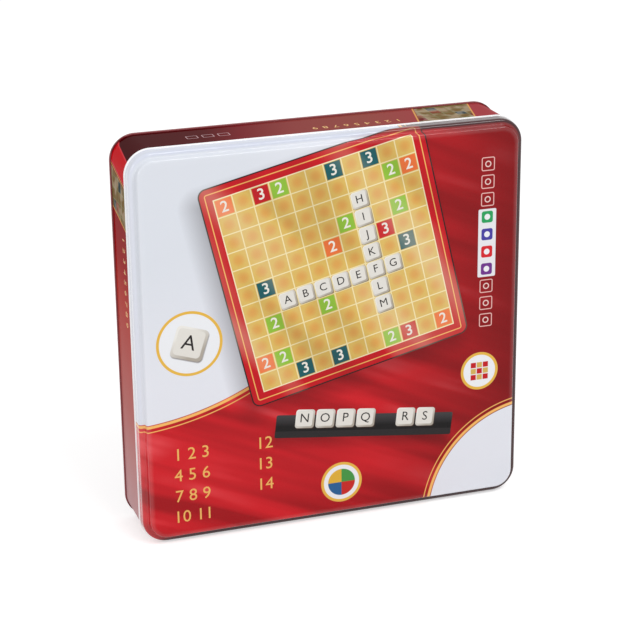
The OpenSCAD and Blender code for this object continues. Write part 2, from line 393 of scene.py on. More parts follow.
def bonus_at(column, row):
    """The one rule for both the colours of the squares and their figures."""
    return (column * column * 3 + row * row * 5 + column * row) % 17


BONUS = {1: (srgb(200, 24, 34), "3"), 5: (srgb(238, 118, 60), "2"),
         8: (srgb(146, 194, 62), "2"), 14: (srgb(22, 92, 98), "3")}


def game_board(finish, place, cell):
    """Gold squares with an amber middle between cream lines, some of them in
    a bonus colour. The middle square is centred on the origin."""
    column, row, u, v = place.cells(cell)
    off = abs(u).most(abs(v)) / cell
    squares = finish.lay(srgb(222, 164, 84), srgb(222, 186, 98),
                         ((u * u + v * v) / cell ** 2).ramp(0.0, 0.14))
    bonus = bonus_at(column, row)
    for number, (colour, _) in BONUS.items():
        squares = finish.lay(squares, colour, bonus.is_near(number) * (off - 0.44).inside(0.03))
    return finish.lay(squares, srgb(244, 230, 178), (0.47 - off).inside(0.03))


wall_ink = Finish("wall_print", Specular_IOR_Level=0, Coat_Weight=0.1, Coat_Roughness=0.1)
spot = wall_ink.in_mm()
across, depth, height = spot.split()
high = height - TIN_HALF
# The way round the wall is 0 in the middle of the top and negative to the
# left. It ends in the middle of the lower wall, where the strip is locked.
# The inks, with the painted reflection among them, the patches and threads are given by their places
# on it.
HALF_WAY = 4 * WALL_HALF
side = across.math("SIGN", across)
on_side = abs(across) > abs(high)
on_top = (high > 0) * (1 - on_side)
way = on_side * (across * 2 - high * side) + on_top * across + \
    (1 - on_side - on_top) * (side * HALF_WAY - across)
slant = way - depth * 0.25
# The colour along the way round. Most stops are the red of the print. The greyish reds on the top and
# the pale pinks in a sweep on the left are painted reflection: the lacquer's sheen put into the
# colour.
WALL_INKS_AND_REFLECTION = (
    (-HALF_WAY, (96, 14, 22)), (-410, (204, 162, 164)), (-330, (190, 112, 108)),
    (-250, (184, 58, 50)), (-222, (158, 20, 24)), (-150, (120, 8, 16)),
    (-142, (66, 2, 6)), (-80, (84, 8, 12)), (-56, (120, 28, 34)),
    (-20, (142, 60, 58)), (30, (146, 70, 62)), (95, (162, 54, 62)),
    (130, (140, 24, 34)), (200, (96, 10, 18)), (330, (150, 18, 28)),
    (420, (92, 12, 20)), (HALF_WAY, (96, 14, 22)))
WALL_THREADS = (-192.5, -162.5, 70, 111.5, 229, 291)
colour = wall_ink.node("ValToRGB", {"stops": [
    ((place + HALF_WAY) / (2 * HALF_WAY), srgb(*ink)) for place, ink in WALL_INKS_AND_REFLECTION]}, {
        0: slant.ramp(-HALF_WAY, HALF_WAY)})
streaks = wall_ink.node("CombineXYZ", {}, {"X": slant * 0.16, "Y": way * 0.004})
silk = wall_ink.noise(streaks, 1.0, 2)
bright = wall_ink.lay(srgb(206, 14, 26), srgb(236, 96, 108), silk.ramp(0.52, 0.66))
wall_place = wall_ink.node("CombineXYZ", {}, {"X": way, "Y": depth - 3})
squares = game_board(wall_ink, wall_place, 8)
# Two of the patches are a picture too small to make out: dark and grey blots.
blots = wall_ink.lay(srgb(24, 16, 18), srgb(134, 124, 116),
                     wall_ink.noise(wall_place, 0.11, 2).ramp(0.46, 0.6))
blurred = wall_ink.lay(squares, blots, 0.75)
patches = ((-150, 11, bright), (125, 14, srgb(164, 54, 60)),
           (-178, 14, blurred), (91, 20, blurred), (260, 30, squares))
for middle, half, patch in patches:
    colour = wall_ink.lay(colour, patch, (abs(slant - middle) - half).inside(0.8))
for place in WALL_THREADS:
    colour = wall_ink.lay(colour, srgb(222, 164, 88), (abs(slant - place) - 0.5).inside(0.4))
column, _, u, _ = wall_place.cells(11)
mark = wall_ink.node("CombineXYZ", {}, {"X": u, "Y": depth - 5}).to_slab((4, 3.4), 1)
colour = wall_ink.lay(colour, srgb(214, 176, 180),
                      (abs(mark + 0.3) - 0.25).inside(0.3) * column.is_near(-7, 1.5) * on_top)
BARE_TIN = srgb(214, 214, 216)
colour = wall_ink.lay(colour, BARE_TIN, (depth + 12.6).inside(0.3))
outward = wall_ink.facing().dot(spot.vector("SUBTRACT", (0, 0, TIN_HALF)))
from_middle = abs(across).most(abs(high))
inner_wall = (from_middle - (WALL_HALF - SHEET / 2)).inside(0.05) * (outward < 0)
colour = wall_ink.lay(colour, BARE_TIN, inner_wall)
scuffs = wall_ink.noise(spot, 0.9, 4)
ripple = wall_ink.noise(spot, 0.035, 1)
wall_ink.feed(Base_Color=colour, Roughness=0.26 + scuffs * 0.14,
              Normal=wall_ink.bumped(scuffs, 0.00002, 0.6,
                                     wall_ink.bumped(ripple, 0.0012, 0.5)))
tin_wall.data.materials.append(wall_ink.material)
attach(tin_wall, "case")
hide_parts("body_wall")

INK_T = 0.02


def figures(name, marks, base, thicken=0.0):
    """One piece from marks of (text, x, y, size, turn), each centred on its
    x, y, thin as ink. base places a point of the print on the part."""
    work = bmesh.new()
    for text, x, y, size, degrees in marks:
        curve = bpy.data.curves.new("mark", "FONT")
        curve.body = text
        curve.size = size
        curve.offset = thicken * size
        curve.align_x, curve.align_y = "CENTER", "CENTER"
        curve.resolution_u = 3
        curve.extrude = INK_T / 2
        drawn = bpy.data.objects.new("mark", curve)
        shape = drawn.to_mesh()
        turn = math.radians(degrees)
        for vertex in shape.vertices:
            a, b, c = vertex.co
            vertex.co = base(x + a * math.cos(turn) - b * math.sin(turn),
                             y + a * math.sin(turn) + b * math.cos(turn), c)
        work.from_mesh(shape)
        drawn.to_mesh_clear()
        bpy.data.objects.remove(drawn)
        bpy.data.curves.remove(curve)
    bmesh.ops.remove_doubles(work, verts=work.verts, dist=1e-8)
    return shaped(name, work)


def ink_of(name, colour):
    made = Finish(name, Roughness=0.35, Specular_IOR_Level=0.2)
    grain = made.noise(made.in_mm(), 0.9, 3)
    made.feed(Base_Color=made.lay(colour, tuple(c * 0.86 for c in colour[:3]) + (1,), grain),
              Roughness=0.28 + grain * 0.14)
    return made.material


INK_LIFT = WALL_HALF + INK_T / 2
gold_ink = ink_of("gold_ink", srgb(244, 190, 104))
# Top of the wall, its left and its right: plain numbers, as on a ruler.
on_wall = {
    "top": (lambda x, y, lift: stood(-x, INK_LIFT + lift, y), -26),
    "left": (lambda x, y, lift: stood(-INK_LIFT - lift, -x, y), -45),
    "right": (lambda x, y, lift: stood(INK_LIFT + lift, x, y), 45),
}
for wall, (base, middle) in on_wall.items():
    marks = [(str(n + 1), middle + (n - 4) * 7.5, 1, 8, 0) for n in range(9)]
    numbers = figures(f"{wall}_wall_numbers", marks, base)
    numbers.data.materials.append(gold_ink)
    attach(numbers, "case")


# The bottom panel: one pressing of lacquered tinplate. Its edge folds over
# the flange of the wall as a seam, and its middle field is pressed forward
# so that it doesn't drum.
PANEL_Z = BACK_Z + 2.5
FIELD_HALF, FIELD_C, FIELD_RISE = 122.0, 110.0, 1.0
FIELD_RINGS = (111.0, 120.0)
STEP_R, STEP_RUN = 0.9, 2.07
# The seam's strand next to the wall ends at SEAM_IN, its outer one at SEAM_OUT.
SEAM_IN, SEAM_OUT = 138.6, TIN_HALF - SHEET
SEAM_LOW, SEAM_HIGH = BACK_Z + SHEET, BACK_Z + 1.9
field_front = (
    [(h, PANEL_Z + SHEET + FIELD_RISE) for h in FIELD_RINGS]
    + arc(FIELD_HALF, PANEL_Z + FIELD_RISE - STEP_R, STEP_R + SHEET, 90, 45, 5)
    + arc(FIELD_HALF + STEP_RUN, PANEL_Z + SHEET + STEP_R, STEP_R, 225, 270, 5)
)
fold_inside = [
    (137.0, PANEL_Z + SHEET), (138.2, PANEL_Z + SHEET), (SEAM_IN, PANEL_Z),
    (SEAM_IN, SEAM_LOW), (SEAM_OUT, SEAM_LOW), (SEAM_OUT, SEAM_HIGH),
    (WALL_HALF + 0.1, SEAM_HIGH), (WALL_HALF + 0.1, SEAM_HIGH + SHEET)]
fold_outside = (
    arc(SEAM_OUT, SEAM_HIGH, SHEET, 90, 0, 5) + [(TIN_HALF, BACK_Z + 1.1)]
    + arc(SEAM_OUT, SEAM_LOW, SHEET, 0, -90, 5) + [(WALL_HALF + 0.1, BACK_Z)]
    + arc(SEAM_IN, SEAM_LOW, SHEET, -90, -180, 5) + [(SEAM_IN - SHEET, PANEL_Z - SHEET)]
    + arc(SEAM_IN - 2 * SHEET, PANEL_Z - SHEET, SHEET, 0, 90, 4) + [(136.0, PANEL_Z)]
)
field_back = (
    arc(FIELD_HALF + STEP_RUN, PANEL_Z + STEP_R + SHEET, STEP_R + SHEET, 270, 225, 5)
    + arc(FIELD_HALF, PANEL_Z + FIELD_RISE - STEP_R, STEP_R, 45, 90, 5)
    + [(h, PANEL_Z + FIELD_RISE) for h in FIELD_RINGS[::-1]]
)
tin_back = sheet_metal("tin_back", [
    (h, z, corner) for stretch, corner in (
        (field_front, FIELD_C), (fold_inside + fold_outside, CORNER_C), (field_back, FIELD_C))
    for h, z in stretch], caps=True)

back_lacquer = Finish("back_lacquer", Roughness=0.3, Specular_IOR_Level=0.3)
spot = back_lacquer.in_mm()
speck = back_lacquer.noise(spot, 1.4, 5)
sweep = back_lacquer.noise(back_lacquer.stretched(spot, (0.004, 0.02, 0.05)), 1.0, 2)
across, depth, height = spot.split()
colour = back_lacquer.lay(srgb(116, 14, 24), srgb(94, 10, 18), sweep.ramp(0.35, 0.7))
# The outer ring of the seam is painted a greyish pink: a painted highlight along the seam's edge.
seam_highlight_ring = abs(across).most(abs(height - TIN_HALF)) > SEAM_IN - 0.1
colour = back_lacquer.lay(colour, srgb(138, 62, 66), seam_highlight_ring * (depth > 24.9))
rubbed = (depth > 27.2) * speck.ramp(0.55, 0.62)
colour = back_lacquer.lay(colour, srgb(196, 190, 186), rubbed * 0.2)
inside_face = (back_lacquer.facing().split()[1] < -0.5) * (depth < 25.2)
colour = back_lacquer.lay(colour, BARE_TIN, inside_face)
ripple = back_lacquer.bumped(back_lacquer.noise(spot, 0.02, 1), 0.002, 0.5)
back_lacquer.feed(Base_Color=colour, Roughness=0.24 + speck * 0.2,
                  Normal=back_lacquer.bumped(speck, 0.00002, 0.5, ripple))
tin_back.data.materials.append(back_lacquer.material)
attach(tin_back, "case")
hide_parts("bottom_panel")


# The insert: one sheet of black plastic, drawn down over a mould into wells
# for the mat, the racks, the tiles and the booklet. It stands on its skirt.
TRAY_Z = 22.2
MAT_TROUGH, TILE_WELL, BOOK_RECESS = 41, 43, 3
REST_GAP = 0.3


def dress(names, material):
    for name in names:
        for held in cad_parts[name].material_slots:
            held.material = material


tray_plastic = Finish("insert_plastic", Roughness=0.4, Specular_IOR_Level=0.4)
spot = tray_plastic.in_mm()
rolled = tray_plastic.noise(tray_plastic.stretched(spot, (0.4, 6, 0.4)), 1.0, 3)
cloud = tray_plastic.noise(spot, 0.03, 3)
thinned = tray_plastic.lay(srgb(34, 34, 37), srgb(48, 48, 52), cloud.ramp(0.35, 0.7))
edge_normal = tray_plastic.node("Bevel", {"samples": 6}, {"Radius": 0.0011})
tray_plastic.feed(Base_Color=thinned, Roughness=0.34 + rolled * 0.16,
                  Normal=tray_plastic.bumped(rolled, 0.00003, 0.4, tray_plastic.bumped(
                      cloud, 0.002, 0.3, edge_normal)))
dress(["insert_tray"], tray_plastic.material)


# The game mat: a square of foam rubber with a printed cloth face, rolled up
# with the print outside so that it lies flat when it is put down.
MAT_SIDE, MAT_T, ROLL_D, ROLL_GAP = 256.0, 2.0, 38.0, 0.25
ROLL_Y = -111.5
ROLL_Z = TRAY_Z - MAT_TROUGH + REST_GAP + ROLL_D / 2
roll_r = (ROLL_D - MAT_T) / 2
roll_pitch = MAT_T + ROLL_GAP
roll_turns = (roll_r - math.sqrt(roll_r ** 2 - roll_pitch * MAT_SIDE / math.pi)) / roll_pitch
ROLL_STEPS, SOFT_EDGE = 220, 0.3


def roll_point(turn, side):
    r = roll_r - roll_pitch * turn + side
    a = 2 * math.pi * turn
    return ROLL_Y + r * math.cos(a), ROLL_Z + r * math.sin(a)


half_t = MAT_T / 2
trim = SOFT_EDGE / (2 * math.pi * roll_r)
inner_trim = SOFT_EDGE / (2 * math.pi * (roll_r - roll_pitch * roll_turns))
turns = [trim + (roll_turns - trim - inner_trim) * i / ROLL_STEPS for i in range(ROLL_STEPS + 1)]
face_loop = [roll_point(t, half_t) for t in turns]
back_loop = [roll_point(t, -half_t) for t in reversed(turns)]
end_in = [roll_point(roll_turns, half_t - SOFT_EDGE), roll_point(roll_turns, SOFT_EDGE - half_t)]
end_out = [roll_point(0, SOFT_EDGE - half_t), roll_point(0, half_t - SOFT_EDGE)]
loop = face_loop + end_in + back_loop + end_out
stations = (-0.5, -0.25, 0.0, 0.25, 0.5)
work = bmesh.new()
layer = work.loops.layers.uv.new("OFBake")
rows = [[work.verts.new(stood(s * MAT_SIDE, y, z)) for y, z in loop] for s in stations]
# The start and the size of the printed face and of the back on the map. The
# ends are bare foam like the back, so they take a spot of its part.
MAP_LOW = 0.01
PRINT_MAP, BACK_MAP = (MAP_LOW, 0.6), (0.63, 0.34)
END_SPOT = ((0.7, 0.6), (0.71, 0.6), (0.71, 0.61), (0.7, 0.61))
for low in range(len(stations) - 1):
    for i in range(len(loop)):
        j = (i + 1) % len(loop)
        face = work.faces.new((rows[low][i], rows[low][j], rows[low + 1][j], rows[low + 1][i]))
        printed = i <= ROLL_STEPS
        start, size = PRINT_MAP if printed else BACK_MAP
        spots = ((i, low), (i + 1, low), (i + 1, low + 1), (i, low + 1))
        for corner, (k, row) in zip(face.loops, spots):
            if printed:
                way = min(k, ROLL_STEPS) / ROLL_STEPS
            else:
                way = 1 - min(max(k - ROLL_STEPS - 3, 0), ROLL_STEPS) / ROLL_STEPS
            corner[layer].uv = (start + size * (stations[row] + 0.5), MAP_LOW + size * way)
last = len(loop) - 3  # the first point of the back lies across from face point 0
for row in (rows[0], rows[-1]):
    ends = [(0, last, last + 1, last + 2),
            (ROLL_STEPS, ROLL_STEPS + 1, ROLL_STEPS + 2, ROLL_STEPS + 3)]
    for ring in [(i, i + 1, last - i - 1, last - i) for i in range(ROLL_STEPS)] + ends:
        face = work.faces.new([row[k] for k in ring])
        for corner, place in zip(face.loops, END_SPOT):
            corner[layer].uv = place
rolled_mat = shaped("rolled_mat", work, sharp=35)

mat_cloth = Finish("mat_rubber", Roughness=0.75, Specular_IOR_Level=0.3, Sheen_Weight=0.15)
place = mat_cloth.node("UVMap", {"uv_map": "OFBake"}, {})
map_x = place.split()[0]
is_print = (map_x < sum(PRINT_MAP) + MAP_LOW) * (map_x > 0.001)
map_middle = MAP_LOW + PRINT_MAP[1] / 2
on_mat = place.vector("SUBTRACT", (map_middle, map_middle, 0)).scaled(MAT_SIDE / PRINT_MAP[1])
MAT_CELL, MAT_CELLS = 16.0, 13
mat_half = MAT_CELL * MAT_CELLS / 2
mat_edge = on_mat.to_slab((mat_half, mat_half))
mat_print = game_board(mat_cloth, on_mat, MAT_CELL)
mat_print = mat_cloth.lay(srgb(170, 20, 30), mat_print, mat_edge.inside())
mat_print = mat_cloth.lay(mat_print, srgb(240, 190, 108), (abs(mat_edge - 5) - 0.6).inside())
mat_colour = mat_cloth.lay(srgb(30, 30, 32), mat_print, is_print)
warp, weft = (mat_cloth.node("TexWave", {"wave_type": "BANDS", "bands_direction": way},
                             {"Vector": on_mat, "Scale": 0.9, "Distortion": 0.3}) for way in "XY")
weave = (warp * weft) * is_print + mat_cloth.noise(on_mat, 2.2, 4) * (1 - is_print)
mat_cloth.feed(Base_Color=mat_cloth.lay(mat_colour, srgb(20, 16, 14), weave.ramp(0.7, 0) * 0.12),
               Roughness=0.7 + weave * 0.2, Normal=mat_cloth.bumped(weave, 0.00012, 0.6))
rolled_mat.data.materials.append(mat_cloth.material)
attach(rolled_mat, "mat")
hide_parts("game_mat")


# The racks: four black bars of moulded plastic, fine-grained, each with a
# low lip, a sloped back rest and closed ends.
rack_plastic = Finish("rack_plastic", Roughness=0.45, Specular_IOR_Level=0.45)
spot = rack_plastic.in_mm()
grain = rack_plastic.noise(spot, 2.4, 4)
flow = rack_plastic.noise(rack_plastic.stretched(spot, (0.01, 0.2, 0.2)), 1.0, 2)
black = rack_plastic.lay(srgb(26, 25, 26), srgb(40, 39, 41), flow.ramp(0.35, 0.7))
edge_normal = rack_plastic.node("Bevel", {"samples": 6}, {"Radius": 0.0005})
rack_plastic.feed(Base_Color=black, Roughness=0.36 + grain * 0.2,
                  Normal=rack_plastic.bumped(grain, 0.00004, 0.7, edge_normal))
dress([f"rack_{i}" for i in range(1, 5)], rack_plastic.material)


# The letter tiles: one hundred, moulded in ivory plastic with a bevel round
# the face, in four layers of five rows. Each face has its letter printed on.
TILE_PITCH, TILE_X, TILE_Y, TILE_T, LAYER_PITCH = 20.4, 77.4, -5.0, 10.0, 10.25
TILE_FLOOR = TRAY_Z - TILE_WELL + REST_GAP
tile_plastic = Finish("tile_plastic", Roughness=0.34, Coat_Weight=0.15, Coat_Roughness=0.15)
spot = tile_plastic.in_mm()
swirl = tile_plastic.noise(spot, 0.09, 5, 0.6)
which = tile_plastic.node("TexWhiteNoise", {"noise_dimensions": "3D"}, {
    "Vector": spot.vector("SUBTRACT", (TILE_X, 0, TIN_HALF + TILE_Y)).vector(
        "DIVIDE", (TILE_PITCH, LAYER_PITCH, TILE_PITCH)).vector(
        "ADD", (0.5, 0, 0.5)).vector("FLOOR")})
ivory = tile_plastic.lay(srgb(238, 232, 214), srgb(226, 216, 192), swirl.ramp(0.4, 0.66))
ivory = tile_plastic.lay(ivory, srgb(214, 202, 174), which * 0.35)
grain = tile_plastic.noise(spot, 1.6, 3)
edge_normal = tile_plastic.node("Bevel", {"samples": 6}, {"Radius": 0.0006})
tile_plastic.feed(Base_Color=ivory, Roughness=0.28 + swirl * 0.16,
                  Normal=tile_plastic.bumped(grain, 0.00003, 0.4, edge_normal))
dress([f"tile_layer{layer}_row{row}" for layer in range(1, 5) for row in range(1, 6)],
      tile_plastic.material)

LETTERS = "ABCDEFGHIJKLMNOPQRSTUVWXYZ"
black_ink = ink_of("black_ink", srgb(34, 30, 30))
for layer in range(1, 5):
    face_z = TILE_FLOOR + (layer - 1) * LAYER_PITCH + TILE_T
    marks = [(LETTERS[(layer * 7 + row * 5 + column) % 26],
              TILE_X + (column - 2) * TILE_PITCH, TILE_Y + (2 - row) * TILE_PITCH, 13, 0)
             for row in range(5) for column in range(5)]
    letters = figures(f"tile_letters_{layer}", marks,
                      lambda x, y, lift, z=face_z: stood(x, y, z + INK_T / 2 + lift))
    letters.data.materials.append(black_ink)
    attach(letters, f"tile_layer{layer}")


# The rules booklet: a few sheets folded once, with two wire staples through
# the fold at the left. The cover is smooth, the page edges are cut.
BOOK_X, BOOK_Y, BOOK_SIDE, BOOK_T = -59.5, -5.0, 140.0, 1.6
BOOK_Z = TRAY_Z - BOOK_RECESS + REST_GAP
fold_x, cut_x = BOOK_X - BOOK_SIDE / 2, BOOK_X + BOOK_SIDE / 2
book_loop = arc(fold_x + BOOK_T / 2, BOOK_Z + BOOK_T / 2, BOOK_T / 2, 90, 270, 10) + \
    [(cut_x - 0.25, BOOK_Z), (cut_x, BOOK_Z + 0.5), (cut_x, BOOK_Z + BOOK_T - 0.5),
     (cut_x - 0.25, BOOK_Z + BOOK_T)]
work = bmesh.new()
ends = [[work.verts.new(stood(x, BOOK_Y + side * BOOK_SIDE / 2, z)) for x, z in book_loop]
        for side in (-1, 1)]
for i in range(len(book_loop)):
    j = (i + 1) % len(book_loop)
    work.faces.new((ends[0][i], ends[0][j], ends[1][j], ends[1][i]))
work.faces.new(ends[0])
work.faces.new(ends[1])
booklet = shaped("booklet", work, sharp=30)

paper = Finish("booklet_paper", Roughness=0.6, Specular_IOR_Level=0.35)
spot = paper.in_mm()
fibre = paper.noise(spot, 1.2, 5, 0.6)
cover = paper.lay(srgb(238, 238, 240), srgb(228, 226, 222), fibre.ramp(0.4, 0.65))
book_x, _, book_height = spot.split()
on_cover = paper.node("CombineXYZ", {}, {"X": book_x - BOOK_X, "Y": book_height - TIN_HALF - BOOK_Y})
band = on_cover.turned(-7, (0, -32, 0)).split()[1]
cover = paper.lay(cover, srgb(176, 20, 30), band.inside(0.4))
cover = paper.lay(cover, srgb(238, 182, 92), (abs(band - 3) - 0.6).inside(0.3))
on_grid = on_cover.vector("SUBTRACT", (0, 20, 0))
cover = paper.lay(cover, game_board(paper, on_grid, 12), on_grid.to_slab((42, 30)).inside())
leaves = paper.node("TexWave", {"wave_type": "BANDS", "bands_direction": "Y"},
                    {"Vector": spot, "Scale": 1.6, "Distortion": 0.6})
cut_edge = (1 - abs(paper.facing().split()[1]).ramp(0.3, 0.6)) * (book_x > fold_x + 1)
cover = paper.lay(cover, paper.lay(srgb(240, 238, 232), srgb(190, 186, 178), leaves), cut_edge)
sag = paper.bumped(paper.noise(spot, 0.02, 2), 0.0015, 0.4)
paper.feed(Base_Color=cover, Roughness=0.5 + fibre * 0.2,
           Normal=paper.bumped(fibre, 0.00002, 0.5, sag))
booklet.data.materials.append(paper.material)
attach(booklet, "booklet")
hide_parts("rules_booklet")

staple_wire = Finish("staple_wire", Metallic=1.0, Roughness=0.3)
spot = staple_wire.in_mm()
drawn_wire = staple_wire.noise(staple_wire.stretched(spot, (9, 9, 0.4)), 1.0, 3)
wire = staple_wire.lay(srgb(206, 206, 210), srgb(150, 150, 156), drawn_wire.ramp(0.4, 0.7))
staple_wire.feed(Base_Color=wire, Roughness=0.22 + drawn_wire * 0.2,
                 Normal=staple_wire.node("Bevel", {"samples": 6}, {"Radius": 0.0002}))
dress(["booklet_staples"], staple_wire.material)


# The lid: one printed sheet, pressed into a raised panel with a rounded step
# round it, then a short skirt whose edge is rolled outwards into a bead.
FRONT_Z, PANEL_HALF, PANEL_R = 27.45, 133.2, 1.3
PANEL_RINGS = (124.0, 129.0, 132.4)
BORDER_Z, LEDGE_HALF, LEDGE_R, EDGE_R = 23.5, 135.96, 0.9, 2.3
# The skirt turns out into the bead in a small fillet, and its mouth is round.
SKIRT_LOW, FILLET_Z, FILLET_R = 18.0, 15.4, 0.3
BEAD_HALF, BEAD_Z, BEAD_R = 139.4, 14.5, 0.6
MOUTH_Z, MOUTH_R = 14.0, 0.5
panel = [(h, FRONT_Z) for h in PANEL_RINGS] + \
    arc(PANEL_HALF, FRONT_Z - PANEL_R, PANEL_R, 90, 15, 8)
ledge = arc(LEDGE_HALF, BORDER_Z + LEDGE_R, LEDGE_R, 195, 270, 8)
skirt = arc(WALL_HALF - EDGE_R, BORDER_Z - EDGE_R, EDGE_R, 90, 0, 10)
fillet = arc(WALL_HALF + FILLET_R, FILLET_Z, FILLET_R, 180, 270, 3)
bead = [(WALL_HALF, SKIRT_LOW)] + fillet + arc(BEAD_HALF, BEAD_Z, BEAD_R, 80, -90, 10)
outer = panel + ledge + skirt + bead
inner = (
    arc(WALL_HALF - SHEET + MOUTH_R, MOUTH_Z, MOUTH_R, -90, -180, 5)
    + [(WALL_HALF - SHEET, SKIRT_LOW)]
    + arc(WALL_HALF - EDGE_R, BORDER_Z - EDGE_R, EDGE_R - SHEET, 0, 90, 8)
    + arc(LEDGE_HALF, BORDER_Z + LEDGE_R, LEDGE_R + SHEET, 270, 195, 8)
    + arc(PANEL_HALF, FRONT_Z - PANEL_R, PANEL_R - SHEET, 15, 90, 8)
    + [(h, FRONT_Z - SHEET) for h in PANEL_RINGS[::-1]]
)


def along(section):
    """How far each point lies from the middle, along the sheet."""
    total = [section[0][0]]
    for (h0, z0), (h1, z1) in zip(section, section[1:]):
        total.append(total[-1] + math.hypot(h1 - h0, z1 - z0))
    return total


# The sheet laid flat on the map: the middle and the scale of its printed side
# and of its plain side. The plain side takes the strip below the bead too.
FLAT_HALF, OUT_MIDDLE, IN_MIDDLE, IN_HALF = 155.0, 0.4, 0.9, 0.09
OUTSIDE, INSIDE = (OUT_MIDDLE, OUT_MIDDLE / FLAT_HALF), (IN_MIDDLE, IN_HALF / FLAT_HALF)
far_out, far_in = along(outer), along(inner[::-1])[::-1]
flats = [(OUTSIDE, a, b) for a, b in zip(far_out, far_out[1:])]
flats.append((INSIDE, far_in[0] + 0.3, far_in[0]))
flats += [(INSIDE, a, b) for a, b in zip(far_in, far_in[1:])]
tin_lid = sheet_metal("tin_lid", [(h, z, CORNER_C) for h, z in outer + inner],
                      caps=True, flats=flats)

skirt_start = far_out[len(panel + ledge)]
bead_start = far_out[len(panel + ledge + skirt) + 2]

lid_ink = Finish("lid_print", Specular_IOR_Level=0.08, Coat_Roughness=0.06)
place = lid_ink.node("UVMap", {"uv_map": "OFBake"}, {})
on_lid = place.vector("SUBTRACT", (OUT_MIDDLE, OUT_MIDDLE, 0)).scaled(FLAT_HALF / OUT_MIDDLE)
lid_x, lid_y, _ = on_lid.split()
# How far out on the sheet: the same all along the rounded edge.
reach = on_lid.to_slab((CORNER_C + 1, CORNER_C + 1), 1) + CORNER_C + 1
over_edge = reach.ramp(skirt_start - 0.6, skirt_start + 0.6)
shaded_rim = reach.ramp(skirt_start - 2.2, skirt_start - 1.4)

# Red satin with folds of light that run across it, darker to the right.
folds = lid_ink.noise(lid_ink.stretched(on_lid.turned(-24), (0.0035, 0.05, 1)), 1.0, 2)
sheen = lid_ink.noise(lid_ink.stretched(on_lid.turned(30), (0.006, 0.022, 1)), 1.0, 1)
ink = lid_ink.lay(srgb(160, 12, 22), srgb(208, 28, 38), folds.ramp(0.38, 0.6))
ink = lid_ink.lay(ink, srgb(234, 82, 88), folds.ramp(0.56, 0.68) * sheen.ramp(0.4, 0.62) * 0.8)
ink = lid_ink.lay(ink, srgb(122, 6, 11), lid_x.ramp(20, 130) * 0.9)
# Painted shade: the turned-down edge is painted dark maroon all round, except on the left.
ink = lid_ink.lay(ink, srgb(58, 4, 12), over_edge * lid_x.ramp(-132, -122))

# Pale fields in two opposite corners, each edged with gold threads.
FIELDS = (((-150, 150, 0), 200), ((150, -150, 0), 80))
for corner, radius in FIELDS:
    field = on_lid.to_disc(corner, radius)
    pale = lid_ink.lay(srgb(222, 226, 234), srgb(230, 232, 240), field.ramp(-110, -30))
    # On the turned-down edge the pale is painted darker, more so towards the upper right: painted
    # shade.
    pale_in_painted_shade = lid_ink.lay(srgb(224, 227, 238), srgb(208, 213, 228), (lid_x + lid_y).ramp(-25, 25))
    pale = lid_ink.lay(pale, pale_in_painted_shade, over_edge)
    ink = lid_ink.lay(ink, pale, field.inside(0.4))
    for off, half in ((1.6, 1.0), (5.2, 0.35)):
        ink = lid_ink.lay(ink, srgb(248, 188, 104), (abs(field - off) - half).inside(0.4))

# A flat game board, turned a little, with a red edge and a cast shadow.
BOARD_AT, BOARD_TURN, CELL, CELLS = (2, 50, 0), 13.0, 13.0, 11
BOARD_HALF = CELL * CELLS / 2
on_board = on_lid.turned(BOARD_TURN, BOARD_AT)
shade = on_lid.turned(BOARD_TURN, (BOARD_AT[0] - 5, BOARD_AT[1] - 7, 0)).to_slab(
    (BOARD_HALF + 9, BOARD_HALF + 9), 6)
ink = lid_ink.lay(ink, srgb(40, 6, 10), (shade - 2).inside(16) * 0.45)
edge = on_board.to_slab((BOARD_HALF + 9.6, BOARD_HALF + 9.6), 6)
print_edge = on_board.to_slab((BOARD_HALF, BOARD_HALF))
# Each part of the board is laid on. Over the turned-down edge its colour is painted darker, towards
# brown: painted shade.
for colour, mask in (
        (srgb(30, 22, 24), edge.inside()),
        (srgb(198, 16, 30), (edge + 0.9).inside()),
        (srgb(248, 188, 104), (abs(edge + 4.6) - 0.35).inside()),
        (game_board(lid_ink, on_board, CELL), print_edge.inside()),
        (srgb(250, 238, 200), (abs(print_edge) - 0.3).inside())):
    ink = lid_ink.lay(ink, lid_ink.lay(colour, srgb(90, 40, 20), over_edge * 0.6), mask)
drape = lid_ink.noise(lid_ink.stretched(on_board.turned(28), (0.03, 0.006, 1)), 1.0, 1)
ink = lid_ink.lay(ink, srgb(255, 240, 214), drape.ramp(0.5, 0.75) * edge.inside() * 0.2)
ink = lid_ink.lay(ink, srgb(60, 24, 10), drape.ramp(0.5, 0.25) * edge.inside() * 0.35)


def printed_tiles(ink, mask, u, v, cell):
    """Cream tiles, one to a square, lit from the upper left."""
    at = lid_ink.node("CombineXYZ", {}, {"X": u, "Y": v})
    half = cell * 0.46
    shadow = at.vector("SUBTRACT", (0.5, -0.7, 0)).to_slab((half, half), half * 0.3)
    top = at.vector("SUBTRACT", (-0.25, 0.3, 0)).to_slab((half * 0.84, half * 0.84), half * 0.24)
    ink = lid_ink.lay(ink, srgb(70, 50, 40), shadow.inside(1.2) * mask * 0.8)
    side = lid_ink.lay(srgb(176, 168, 156), srgb(238, 236, 230), (v - u) / cell + 0.5)
    ink = lid_ink.lay(ink, side, at.to_slab((half, half), half * 0.3).inside() * mask)
    return lid_ink.lay(ink, srgb(228, 225, 218), top.inside(0.5) * mask)


ROW_TILES = [(column, -1) for column in range(-3, 4)]
COLUMN_TILES = [(2, row) for row in (3, 2, 1, 0, -2, -3)]
column, row, u, v = on_board.cells(CELL)
taken = (row.is_near(-1) * column.is_near(0, 3.5)).most(column.is_near(2) * row.is_near(0, 3.5))
ink = printed_tiles(ink, taken, u, v, CELL)

